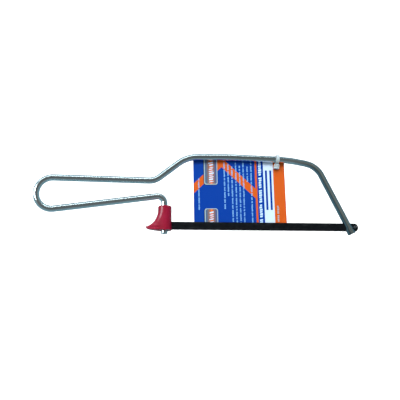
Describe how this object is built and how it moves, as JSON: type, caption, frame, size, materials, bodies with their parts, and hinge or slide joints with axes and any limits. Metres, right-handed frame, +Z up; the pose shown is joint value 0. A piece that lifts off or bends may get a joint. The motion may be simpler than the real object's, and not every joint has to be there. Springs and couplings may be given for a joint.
{
  "type": "hacksaw",
  "caption": "Small wire-frame hacksaw: one bent steel wire forms the bow and loop handle, with a pinned blade, a red collar and a tied-on display card.",
  "frame": {"origin": "on the surface the saw lies on, under the middle of its box", "axes": "+X along the blade from the handle towards the front leg, +Y in the frame's plane from the blade towards the bow, +Z up, out of the frame's plane"},
  "size_m": [0.2468, 0.0632, 0.0103],
  "materials": {
    "plated_wire": "bright zinc-plated drawn wire, smooth, with faint drawing lines",
    "blade_steel": "black painted spring steel, satin",
    "pin_steel": "blackened steel pin with a bare end",
    "red_plastic": "moulded red plastic, satin",
    "printed_card": "coated card printed in blue, orange and pale blue",
    "tie_nylon": "natural white nylon, slightly translucent"
  },
  "bodies": {
    "frame": {"frame_wire": "plated_wire"},
    "blade": {"saw_blade": "blade_steel", "front_blade_pin": "pin_steel", "rear_blade_pin": "pin_steel"},
    "collar": {"blade_collar": "red_plastic"},
    "card": {"display_card": "printed_card", "cable_tie": "tie_nylon"}
  },
  "joints": [
    {"name": "blade_swing", "type": "hinge", "parent": "frame", "child": "blade", "pos_m": [0.1206, -0.02512, 0.00513], "axis": [0, 0, 1], "range_deg": [0, 90]},
    {"name": "collar_slide", "type": "slide", "parent": "frame", "child": "collar", "axis": [0, 1, 0], "range_m": [0, 0.003]},
    {"name": "card_swing", "type": "hinge", "parent": "frame", "child": "card", "pos_m": [0.0619, 0.02783, 0.00513], "axis": [0.9996, -0.0292, 0], "range_deg": [0, 90]}
  ]
}
